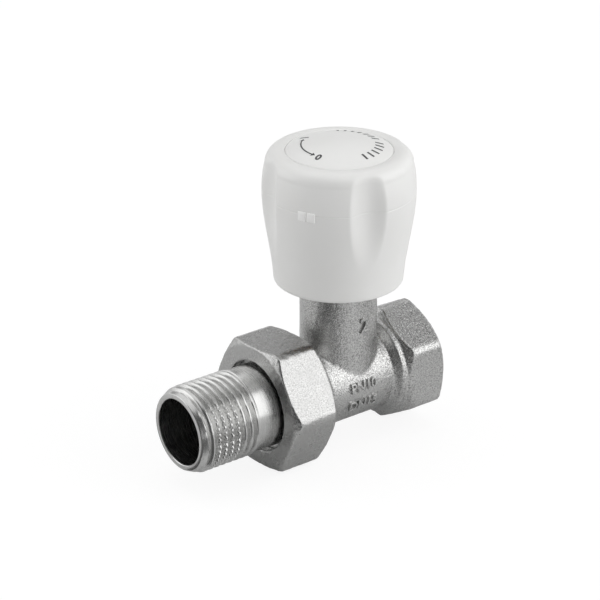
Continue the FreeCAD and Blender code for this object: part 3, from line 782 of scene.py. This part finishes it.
def card(name, direction, distance, width, height, radiance, flat=False):
    """Card that only reflections see: it faces the valve, or lies flat."""
    bm = bmesh.new()
    away = Vector(direction).normalized()
    facing = Vector((0, 0, 1)) if flat else away
    bmesh.ops.create_grid(bm, x_segments=1, y_segments=1, size=0.5, matrix=(
        Matrix.Translation(MIDDLE + away * distance)
        @ facing.to_track_quat("Z", "Y").to_matrix().to_4x4()
        @ Matrix.Diagonal((width, height, 1, 1))))
    finish, tree = new_finish(name)
    glow = add(tree, "ShaderNodeEmission", {"Color": (1, 1, 1, 1), "Strength": radiance})
    add(tree, "ShaderNodeOutputMaterial", {"Surface": glow.outputs["Emission"]})
    board = stand(name, mesh_of(bm, name))
    board.data.materials.append(finish)
    board.visible_camera = False
    board.visible_diffuse = False
    board.visible_shadow = False
    board.visible_transmission = False


camera = stand("camera", bpy.data.cameras.new("camera"))
back = Vector((math.sin(AZIMUTH) * math.cos(ELEVATION), -math.cos(AZIMUTH) * math.cos(ELEVATION),
               math.sin(ELEVATION)))
camera.location = TARGET + back * CAMERA_DISTANCE
camera.rotation_euler = back.to_track_quat("Z", "Y").to_euler()
camera.data.lens = 143.39
camera.data.sensor_width = 36
camera.data.clip_start = 0.01
camera.data.clip_end = 20
bpy.context.scene.camera = camera

soft_lamp("key lamp", KEY, distance=1.2, size=1.5, radiance=1.5)
soft_lamp("side lamp", SIDE, distance=1.3, size=0.9, radiance=2.0)
soft_lamp("top lamp", (0.0, 0.15, 1.0), distance=1.4, size=1.2, radiance=1.08)
card("key card", KEY, 1.15, width=1.45, height=1.45, radiance=1.7)
card("top card", (0.15, 0.45, 0.88), 0.9, width=0.45, height=0.45, radiance=1.1)
card("side card", SIDE, 1.0, width=0.6, height=0.6, radiance=1.6)
card("front card", (-0.76, -0.475, 0.42), 0.9, width=1.62, height=1.4, radiance=0.09)
card("upper card", (0.6, -0.08, 0.8), 0.9, width=0.55, height=0.5, radiance=0.14)
card("rear card", (0.5, 0.78, 0.38), 1.0, width=1.4, height=0.5, radiance=0.43)
# Painted shade: two dark sheets lying on the floor near the valve, seen only in reflections, darken
# the floor that the metal reflects.
card("left painted floor shade", (-0.191, -0.114, -0.0336), 0.225, width=0.308, height=0.232, radiance=0.11,
     flat=True)
card("right painted floor shade", (0.153, -0.108, -0.0336), 0.19, width=0.15, height=0.11, radiance=0.08,
     flat=True)

sheet = bmesh.new()
bmesh.ops.create_circle(sheet, cap_ends=True, radius=4.0, segments=64,
                        matrix=Matrix.Translation((0, 0, FLOOR)))
floor = stand("floor", mesh_of(sheet, "floor"))
paper, tree = new_finish("pale studio paper")
seen = add(tree, "ShaderNodeLightPath", {})
share = add(tree, "ShaderNodeMath", {0: seen.outputs["Is Camera Ray"], 1: 0.8},
            operation="MULTIPLY")
matt = add(tree, "ShaderNodeBsdfDiffuse", {"Color": linear("#E0E0E0")})
glow = add(tree, "ShaderNodeEmission", {"Color": (1, 1, 1, 1), "Strength": 1.1})
blend = add(tree, "ShaderNodeMixShader", {
    "Fac": share.outputs["Value"], 1: matt.outputs["BSDF"], 2: glow.outputs["Emission"]})
add(tree, "ShaderNodeOutputMaterial", {"Surface": blend.outputs["Shader"]})
floor.data.materials.append(paper)

world = bpy.data.worlds.new("studio")
bpy.context.scene.world = world
world.use_nodes = True
tree = world.node_tree
tree.nodes.clear()
seen = add(tree, "ShaderNodeLightPath", {})
mirror = add(tree, "ShaderNodeMath", {
    0: seen.outputs["Is Camera Ray"], 1: seen.outputs["Is Glossy Ray"]}, operation="MAXIMUM")
direct = add(tree, "ShaderNodeMath", {
    0: mirror.outputs["Value"], 1: seen.outputs["Is Transmission Ray"]}, operation="MAXIMUM")
air = add(tree, "ShaderNodeMix", {
    "Factor": direct.outputs["Value"], "A": (0.43, 0.43, 0.43, 1), "B": (1, 1, 1, 1)},
    data_type="RGBA")
sky = add(tree, "ShaderNodeBackground", {"Color": air.outputs["Result"], "Strength": 1.0})
add(tree, "ShaderNodeOutputWorld", {"Surface": sky.outputs["Background"]})
bpy.context.scene.view_settings.view_transform = "Standard"
